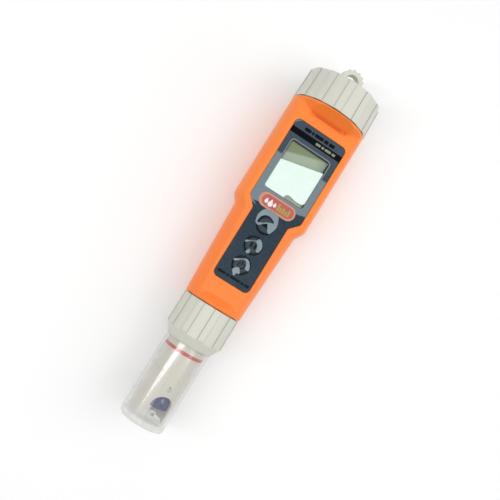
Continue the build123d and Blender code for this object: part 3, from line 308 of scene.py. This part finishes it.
def cup_look():
    """Clear plastic: see-through, slightly milky, greyer at its thick base, damp at the lower left."""
    g = Graph("clear_cup", Specular_IOR_Level=0.5)
    length, across, height = g.axis("Y"), g.axis("X"), g.axis("Z")
    g.to("Base Color", g.mix(g.noise(0.006), srgb(236, 236, 230), srgb(230, 230, 225)))
    base = g.span(length, along(2.6), along(3.2), 0.34, 0.0)
    edge = g.math("ADD", g.math("MULTIPLY", across, -0.45), along(23.2))
    damp = g.span(g.math("SUBTRACT", length, edge), -0.0002, 0.0002, 1.0, 0.0)
    damp = g.math("MULTIPLY", damp, g.span(across, -0.0012, -0.0008, 1.0, 0.0))
    damp = g.math("MULTIPLY", damp, g.span(height, AXIS_Z, AXIS_Z + 0.001, 0.0, 0.10))
    smear = g.span(g.noise(0.0015, 4.0, 0.6, (1.0, 0.3, 1.0)), 0.4, 0.75, 0.0, 0.02)
    milk = g.math("ADD", g.math("ADD", base, damp), g.math("ADD", smear, 0.04))
    through = g.add("ShaderNodeBsdfTransparent")
    through.inputs[0].default_value = (0.985, 0.985, 0.98, 1.0)
    g.to("Roughness", g.span(g.noise(0.006), 0.3, 0.7, 0.30, 0.36))
    cloudy = g.add("ShaderNodeMixShader")
    g.link(milk, cloudy.inputs[0])
    g.link(through.outputs[0], cloudy.inputs[1])
    g.link(g.bsdf.outputs[0], cloudy.inputs[2])
    gloss = g.add("ShaderNodeBsdfGlossy")
    g.link(g.span(g.noise(0.006), 0.3, 0.7, 0.10, 0.15), gloss.inputs["Roughness"])
    rim = g.add("ShaderNodeLayerWeight").outputs["Facing"]
    mirror = g.math("ADD", g.math("MULTIPLY", g.math("POWER", rim, 3.0), 0.45), 0.045)
    both = g.add("ShaderNodeMixShader")
    g.link(mirror, both.inputs[0])
    g.link(cloudy.outputs[0], both.inputs[1])
    g.link(gloss.outputs[0], both.inputs[2])
    g.link(both.outputs[0], g.out.inputs["Surface"])
    return g.material


def board_look():
    """Green solder mask over a copper pattern."""
    g = Graph("board_green", Coat_Weight=0.4, Coat_Roughness=0.1)
    tracks = g.add("ShaderNodeTexBrick")
    tracks.inputs["Scale"].default_value = 420.0
    tracks.inputs["Color1"].default_value = srgb(22, 88, 52)
    tracks.inputs["Color2"].default_value = srgb(30, 104, 62)
    tracks.inputs["Mortar"].default_value = srgb(66, 140, 88)
    g.link(g.place, tracks.inputs["Vector"])
    cloud = g.span(g.noise(0.003), 0.3, 0.7, 0.0, 0.3)
    g.to("Base Color", g.mix(cloud, tracks.outputs["Color"], srgb(18, 70, 44)))
    g.to("Roughness", g.span(g.noise(0.0006), 0.3, 0.7, 0.3, 0.45))
    return g.material


ORANGE = srgb(252, 132, 50)
GREY = srgb(206, 206, 195)
LOOKS = {
    "orange_shell": moulded("orange_plastic", ORANGE, 0.5, mottle=0.02, dust=0.12,
                            tint=orange_tone, rounding=0.0012,
                            Specular_IOR_Level=0.35, Sheen_Weight=0.25, Sheen_Roughness=0.35),
    # grey plastic: painted shade in its crevices
    "grey_plastic": moulded("grey_plastic", GREY, 0.48, mottle=0.025, dust=0.18, crevice_shade=0.6,
                            Specular_IOR_Level=0.45),
    "label_film": label_look(),
    "clear_lens": lens_look(),
    "lcd_panel": lcd_look(),
    "black_plastic": moulded("black_plastic", srgb(26, 27, 30), 0.45, mottle=0.2),
    "grey_rubber": moulded("grey_rubber", srgb(150, 150, 152), 0.75, mottle=0.1),
    "board_green": board_look(),
    "chip_black": moulded("chip_black", srgb(30, 31, 34), 0.55, mottle=0.2),
    "steel": metal("steel", srgb(205, 206, 208), 0.28, (1.0, 0.1, 1.0)),
    "gold_contact": metal("gold_contact", srgb(226, 184, 96), 0.24),
    "ceramic_parts": moulded("ceramic_parts", srgb(226, 216, 190), 0.6),
    "button_grey": moulded("button_grey", srgb(38, 52, 60), 0.36, mottle=0.08, Specular_IOR_Level=0.3),
    "clear_cup": cup_look(),
    "red_rubber": moulded("red_rubber", srgb(204, 78, 54), 0.5, mottle=0.08),
    "black_rubber": moulded("black_rubber", srgb(30, 30, 32), 0.7, mottle=0.2),
    "probe_plastic": moulded("probe_plastic", srgb(214, 210, 200), 0.42, mottle=0.04),
    "blue_seal": moulded("blue_seal", srgb(54, 64, 122), 0.3, mottle=0.25),
    "bulb_glass": clear("bulb_glass", (0.95, 0.97, 0.98, 1.0), 0.01, 1.5),
}
for entry in frame["record"]["subparts"]:
    thing = NODES[entry["node"]]
    thing.data.materials.clear()
    thing.data.materials.append(LOOKS[entry["material_slot"]])


# ---- thin printed and film pieces ---------------------------------------------------------------
def finish_piece(piece, body, material):
    piece.data.materials.append(material)
    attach(piece, body)
    return piece


def flat_piece(name, loops, base, thickness, body, material, rounding=0.0):
    """A thin plate with the given closed outlines (mm across, mm along); inner outlines are holes."""
    outline = bpy.data.curves.new(name, "CURVE")
    outline.dimensions = "2D"
    outline.fill_mode = "BOTH"
    outline.extrude = thickness / 2
    outline.resolution_u = 6
    for loop in loops:
        spline = outline.splines.new("BEZIER" if rounding else "POLY")
        if rounding:
            spline.bezier_points.add(len(loop) - 1)
            for point, (x, station) in zip(spline.bezier_points, loop):
                point.co = (x * MM, along(station), 0)
                point.handle_left_type = point.handle_right_type = "AUTO"
        else:
            spline.points.add(len(loop) - 1)
            for point, (x, station) in zip(spline.points, loop):
                point.co = (x * MM, along(station), 0, 1)
        spline.use_cyclic_u = True
    carrier = bpy.data.objects.new(name + "_outline", outline)
    bpy.context.scene.collection.objects.link(carrier)
    bpy.context.view_layer.update()
    mesh = bpy.data.meshes.new_from_object(carrier.evaluated_get(bpy.context.evaluated_depsgraph_get()))
    bpy.data.objects.remove(carrier)
    mesh.name = name
    mesh.materials.clear()
    mesh.transform(Matrix.Translation((0, 0, base + thickness / 2)))
    bm = bmesh.new()
    bm.from_mesh(mesh)
    bmesh.ops.remove_doubles(bm, verts=bm.verts, dist=1e-7)
    bm.to_mesh(mesh)
    bm.free()
    piece = bpy.data.objects.new(name, mesh)
    bpy.context.scene.collection.objects.link(piece)
    return finish_piece(piece, body, material)


def circle(x, station, radius, count=48, start=0.0, sweep=360.0):
    points = []
    for index in range(count):
        angle = math.radians(start + sweep * index / (count if sweep == 360.0 else count - 1))
        points.append((x + radius * math.cos(angle), station + radius * math.sin(angle)))
    return points


def arc_band(x, station, inner, outer, start, sweep, count=28):
    inside = circle(x, station, inner, count, start, sweep)
    return circle(x, station, outer, count, start, sweep) + inside[::-1]


def rounded(x0, s0, x1, s1, radius, count=6):
    points = []
    corners = ((x1 - radius, s1 - radius, 0), (x0 + radius, s1 - radius, 90),
               (x0 + radius, s0 + radius, 180), (x1 - radius, s0 + radius, 270))
    for x, station, start in corners:
        points += circle(x, station, radius, count, start, 90.0)
    return points


PRINT = 0.00003
LAYER_STEP = 0.8
PRINT_Z = LABEL_TOP_Z - 0.00001
INK = moulded("print_ink", srgb(8, 10, 16), 0.35, grain=0.0003, depth=0.000003, mottle=0.15, dust=0.0,
              Specular_IOR_Level=0.08)
BAND_INK = moulded("print_band", srgb(4, 7, 14), 0.3, grain=0.0003, depth=0.000003, mottle=0.1, dust=0.0,
                   Specular_IOR_Level=0.08)
PALE_INK = moulded("print_pale", srgb(128, 136, 112), 0.4, grain=0.0003, depth=0.000003)
RED_INK = moulded("print_red", srgb(176, 84, 74), 0.36, grain=0.0003, depth=0.000003)
RIM_HIGHLIGHT_INK = moulded("print_rim_highlight", srgb(198, 134, 108), 0.36, grain=0.0003, depth=0.000003)
WHITE_INK = moulded("print_white", srgb(228, 222, 226), 0.4, grain=0.0003, depth=0.000003)
LIME_INK = moulded("print_lime", srgb(160, 150, 62), 0.4, grain=0.0003, depth=0.000003)
# painted highlight for lifted film corners and the window's bevel
EDGE_HIGHLIGHT = moulded("edge_highlight", srgb(112, 124, 130), 0.4, grain=0.0003, depth=0.000003)

LABEL_HALF = 13.4


def print_on_label(name, loops, material, layer=0, rounding=0.0):
    base = PRINT_Z + layer * PRINT * LAYER_STEP
    return flat_piece(name, loops, base, PRINT, "housing", material, rounding)


print_on_label("header_band", [[(-LABEL_HALF + 0.02, 145.65), (LABEL_HALF - 0.02, 145.65),
                                (LABEL_HALF - 0.02, 148.5), (-LABEL_HALF + 0.02, 148.5)]], BAND_INK)


def bars(start, widths, gap, low, high, radius):
    """A row of plain rounded bars."""
    row = []
    for width in widths:
        row.append(rounded(start, low, start + width, high, radius))
        start += width + gap
    return row


print_on_label("title_marks", bars(-7.9, (3.4, 1.1, 4.6, 2.2, 2.9), 0.45, 149.35, 150.9, 0.5), INK)
print_on_label("header_code", bars(-0.2, (2.6, 1.4, 3.2, 1.8), 0.5, 146.5, 147.6, 0.4), PALE_INK, 1)
print_on_label("footer_marks", bars(-8.2, (4.2, 1.4, 5.2, 1.4, 2.4), 0.45, 75.75, 76.9, 0.4), INK)

# painted highlight: pale slivers at two label corners where the film edge lifts
LIFT_HIGHLIGHTS = [
    [(-13.2, 149.9), (-13.2, 151.2), (-11.6, 152.4), (-9.9, 152.9), (-11.4, 152.0), (-12.6, 151.0)],
    [(-13.3, 113.1), (-12.3, 111.0), (-10.9, 109.8), (-8.3, 109.4), (-10.6, 110.4), (-12.0, 111.6)],
]
print_on_label("corner_lift_highlight", LIFT_HIGHLIGHTS, EDGE_HIGHLIGHT)
window_low = (LENS_LOW.y - CUP_END_Y) / MM + 0.9
window_high = (LENS_HIGH.y - CUP_END_Y) / MM - 0.9
# painted highlight: pale ring along the window's bevel
print_on_label("window_edge", [rounded(-10.75, window_low - 0.55, 10.75, window_high + 0.55, 1.9),
                               rounded(-10.24, window_low - 0.04, 10.24, window_high + 0.04, 1.5)], EDGE_HIGHLIGHT)

# printed badge border, made lighter as a painted highlight
print_on_label("badge_rim", [rounded(-9.3, 110.35, 9.2, 117.15, 3.39, 14)], RIM_HIGHLIGHT_INK)
print_on_label("badge_face", [rounded(-7.9, 111.2, 8.35, 116.4, 2.6, 12)], RED_INK, 1)


def drop(x, station, radius):
    """Outline of a falling drop with its point up."""
    return circle(x, station, radius, 20, 150, 240) + [(x, station + 2.15 * radius)]


DROPS = [drop(-5.6, 113.2, 0.85), drop(-3.4, 112.9, 1.15), drop(-1.3, 113.3, 0.75)]
print_on_label("badge_drops", DROPS, WHITE_INK, 2)
print_on_label("badge_bars", [rounded(0.2 + 1.35 * index, 112.0, 1.1 + 1.35 * index, 113.3 + height, 0.3)
                              for index, height in enumerate((2.0, 0.9, 1.4, 0.6, 1.8))], LIME_INK, 2)

# ---- keys: printed symbols and dark rims --------------------------------------------------------
for key, middle in KEYS.items():
    ring = [circle(0, middle, KEY_RADIUS + 0.62), circle(0, middle, KEY_RADIUS + 0.26)]
    print_on_label(key + "_ring", ring, INK)
    if key == "mode":
        symbol = [[(-1.9, middle - 1.0), (1.9, middle - 1.0), (0, middle + 1.1)]]
    elif key == "hold":
        symbol = [rounded(-1.5, middle - 1.2, -0.5, middle + 1.2, 0.25),
                  rounded(0.5, middle - 1.2, 1.5, middle + 1.2, 0.25)]
    else:
        symbol = [arc_band(0, middle, 1.25, 1.75, 125, 290),
                  rounded(-0.28, middle + 0.1, 0.28, middle + 2.2, 0.25)]
    flat_piece(key + "_symbol", symbol, KEY_TOP_Z - 0.00001, PRINT, key + "_key", INK)
    flat_piece(key + "_rim", [circle(0, middle, KEY_RADIUS - 0.3), circle(0, middle, KEY_RADIUS - 0.55)],
               KEY_TOP_Z - 0.00001, PRINT, key + "_key", INK)


# ---- cover film: air pockets over the keys lightened as painted reflection, painted glare on the display ---
def film_look(name, colour, solid, mottle):
    g = Graph(name, Specular_IOR_Level=0.5)
    g.to("Base Color", g.mix(g.noise(0.004, 3.0), shade(colour, 1 - mottle), shade(colour, 1 + mottle)))
    g.to("Alpha", g.span(g.noise(0.003, 3.0), 0.3, 0.7, solid - mottle, solid + mottle))
    g.to("Roughness", g.span(g.noise(0.001), 0.3, 0.7, 0.15, 0.3))
    g.to("Normal", g.bump(g.noise(0.003, 2.0), 0.00003))
    return g.material


# painted reflection: lighter slate patches over the keys stand for air pockets in the cover film and the
# glare on them
POCKET_REFLECTION = film_look("film_pocket_reflection", srgb(128, 145, 152), 0.92, 0.05)
GLARE = film_look("window_glare_film", srgb(228, 246, 237), 0.95, 0.012)
FILM_Z = KEY_TOP_Z + 0.00004
FILM = 0.00003
POCKETS = {
    "mode": [
        [(-3.9, 110.1), (-4.8, 109.0), (-5.3, 107.7), (-5.7, 106.3), (-5.4, 104.3), (-4.8, 102.8),
         (-3.9, 102.3), (-3.1, 102.2), (-2.1, 103.1), (-0.7, 104.3), (0.1, 104.7), (1.1, 103.4),
         (1.7, 102.2), (2.5, 101.3), (3.2, 101.3), (4.0, 102.9), (4.6, 105.2), (4.5, 106.5),
         (3.9, 108.2), (3.1, 109.8), (2.6, 110.3)],
        [(-4.1, 103.2), (-4.3, 104.7), (-3.9, 106.1), (-2.9, 107.4), (-1.4, 108.0), (0.3, 107.9),
         (1.7, 107.3), (2.5, 106.5), (1.1, 105.9), (-0.3, 105.2), (-1.6, 104.3), (-3.0, 103.7)],
    ],
    "hold": [
        [(0.6, 97.0), (2.0, 96.9), (3.1, 95.9), (3.9, 94.2), (3.8, 92.5), (3.2, 91.5), (2.3, 91.7),
         (1.9, 93.1), (1.3, 94.4), (0.1, 95.3), (-1.4, 94.8), (-3.0, 93.7), (-3.8, 92.9),
         (-4.4, 93.2), (-4.1, 93.9), (-2.5, 94.5), (-0.7, 95.5), (0.4, 96.3)],
        [(-0.6, 91.2), (0.0, 90.3), (0.1, 89.6), (-0.6, 88.9), (-1.4, 89.0), (-1.6, 89.8),
         (-1.2, 90.6)],
    ],
    "power": [
        [(-0.1, 86.5), (1.5, 86.6), (2.9, 85.5), (3.8, 84.0), (4.0, 82.4), (3.2, 82.2), (2.3, 82.5),
         (1.9, 84.0), (1.0, 85.5), (-0.3, 85.8), (-1.4, 85.2), (-2.7, 84.1), (-3.9, 83.3),
         (-4.4, 83.7), (-3.8, 84.4), (-2.0, 85.3), (-0.6, 86.1)],
        [(-0.6, 81.7), (0.2, 81.3), (1.0, 80.0), (1.2, 79.2), (0.0, 79.0), (-0.2, 78.1),
         (-0.8, 77.4), (-1.6, 78.3), (-2.5, 79.5), (-2.1, 80.4), (-1.4, 81.2)],
    ],
}
for key, loops in POCKETS.items():
    flat_piece(key + "_film_pocket_reflection", loops, FILM_Z, FILM, "housing", POCKET_REFLECTION, 1.0)
# painted reflection: a pale mint sheet on the window stands in for glare on the lens
flat_piece("window_glare_film", [
    [(-10.1, 118.75), (0.2, 118.75), (0.5, 120.0), (1.3, 120.7), (2.7, 120.8), (4.2, 120.4), (5.9, 120.1),
     (8.0, 120.2), (9.6, 120.7), (10.0, 121.6), (10.05, 137.55), (-10.1, 132.8)]],
    LENS_HIGH.z + 0.00001, FILM, "housing", GLARE)

# ---- water drops left inside the cup ------------------------------------------------------------
WATER = clear("water", (0.99, 0.995, 1.0, 1.0), 0.0, 1.33, 0.0)
CUP_BORE = 9.65


def water_drop(name, azimuth, station, length, width, height):
    """A flattened bead on the cup's inner wall; azimuth is from the front towards +X."""
    bm = bmesh.new()
    bmesh.ops.create_icosphere(bm, subdivisions=3, radius=1.0)
    for vertex in bm.verts:
        wave = 1 + 0.08 * math.sin(3 * math.atan2(vertex.co.y, vertex.co.x) + station)
        vertex.co.x *= wave * width * MM / 2
        vertex.co.y *= wave * length * MM / 2
        vertex.co.z *= height * MM
    mesh = bpy.data.meshes.new(name)
    bm.to_mesh(mesh)
    bm.free()
    for polygon in mesh.polygons:
        polygon.use_smooth = True
    angle = math.radians(azimuth)
    reach = (CUP_BORE - height * 0.6) * MM
    spot = Vector((math.sin(angle) * reach, along(station), AXIS_Z + math.cos(angle) * reach))
    mesh.transform(Matrix.Translation(spot) @ Matrix.Rotation(angle, 4, "Y"))
    piece = bpy.data.objects.new(name, mesh)
    bpy.context.scene.collection.objects.link(piece)
    return finish_piece(piece, "cup", WATER)


BEAD_HEIGHT = 0.45
BEADS = (
    (14, 20.0, 2.4, 1.6), (15, 14.2, 2.2, 1.5), (10, 7.6, 2.6, 1.8), (-30, 26.0, 1.2, 0.9),
    (-38, 22.5, 0.8, 0.7), (42, 29.0, 1.4, 1.0), (24, 24.5, 0.9, 0.7),
)
for index, (azimuth, station, length, width) in enumerate(BEADS):
    water_drop(f"water_drop_{index + 1}", azimuth, station, length, width, BEAD_HEIGHT)

# ---- smooth shading on every visible mesh -------------------------------------------------------
for thing in NODES.values():
    for polygon in thing.data.polygons:
        polygon.use_smooth = True

# ---- stage, light, camera -----------------------------------------------------------------------
def area(name, place, target, size, power):
    data = bpy.data.lights.new(name, "AREA")
    data.shape = "RECTANGLE"
    data.size, data.size_y = size
    data.energy = power
    lamp = bpy.data.objects.new(name, data)
    bpy.context.scene.collection.objects.link(lamp)
    lamp.location = place
    lamp.rotation_euler = (Vector(target) - Vector(place)).to_track_quat("-Z", "Y").to_euler()


FLOOR_SIZE = 3.0
bm = bmesh.new()
bmesh.ops.create_grid(bm, x_segments=24, y_segments=24, size=FLOOR_SIZE / 2)
floor_mesh = bpy.data.meshes.new("floor")
bm.to_mesh(floor_mesh)
bm.free()
floor = bpy.data.objects.new("floor", floor_mesh)
bpy.context.scene.collection.objects.link(floor)
g = Graph("floor", Specular_IOR_Level=0.1)
g.to("Base Color", g.mix(g.noise(0.05), (0.925, 0.925, 0.923, 1.0), (0.935, 0.935, 0.935, 1.0)))
g.to("Roughness", g.span(g.noise(0.004), 0.3, 0.7, 0.75, 0.85))
floor.data.materials.append(g.material)

world = bpy.data.worlds.new("studio")
bpy.context.scene.world = world
world.use_nodes = True
background = world.node_tree.nodes["Background"]
background.inputs[0].default_value = (1.0, 1.0, 1.0, 1.0)
direction = world.node_tree.nodes.new("ShaderNodeTexCoord")
split = world.node_tree.nodes.new("ShaderNodeSeparateXYZ")
grade = world.node_tree.nodes.new("ShaderNodeMapRange")
for socket, number in zip(grade.inputs[1:5], (-1.0, 1.0, 0.40, 0.76)):
    socket.default_value = number
world.node_tree.links.new(direction.outputs["Generated"], split.inputs[0])
world.node_tree.links.new(split.outputs["Y"], grade.inputs[0])
world.node_tree.links.new(grade.outputs[0], background.inputs[1])

area("key", (-0.30, -0.10, 0.60), (0.0, 0.0, 0.02), (0.09, 0.60), 1.45)
area("top_strip", (0.135, -0.05, 0.64), (0.0, -0.02, 0.02), (0.05, 0.70), 0.7)
area("fill", (0.45, 0.20, 0.45), (0.0, 0.0, 0.02), (0.40, 0.60), 1.1)

scene = bpy.context.scene
scene.view_settings.view_transform = "Standard"
camera_data = bpy.data.cameras.new("camera")
camera_data.lens = 50.36
camera_data.sensor_width = 36.0
camera_data.clip_start = 0.01
camera = bpy.data.objects.new("camera", camera_data)
scene.collection.objects.link(camera)
camera.matrix_world = (
    Matrix.Translation((-0.0486, -0.0227, 0.3349))
    @ Matrix.Rotation(math.radians(0.09), 4, "Z")
    @ Matrix.Rotation(math.radians(-9.0), 4, "Y")
    @ Matrix.Rotation(math.radians(3.6), 4, "X")
    @ Matrix.Rotation(math.radians(31.63), 4, "Z")
)
scene.camera = camera

bpy.context.view_layer.update()
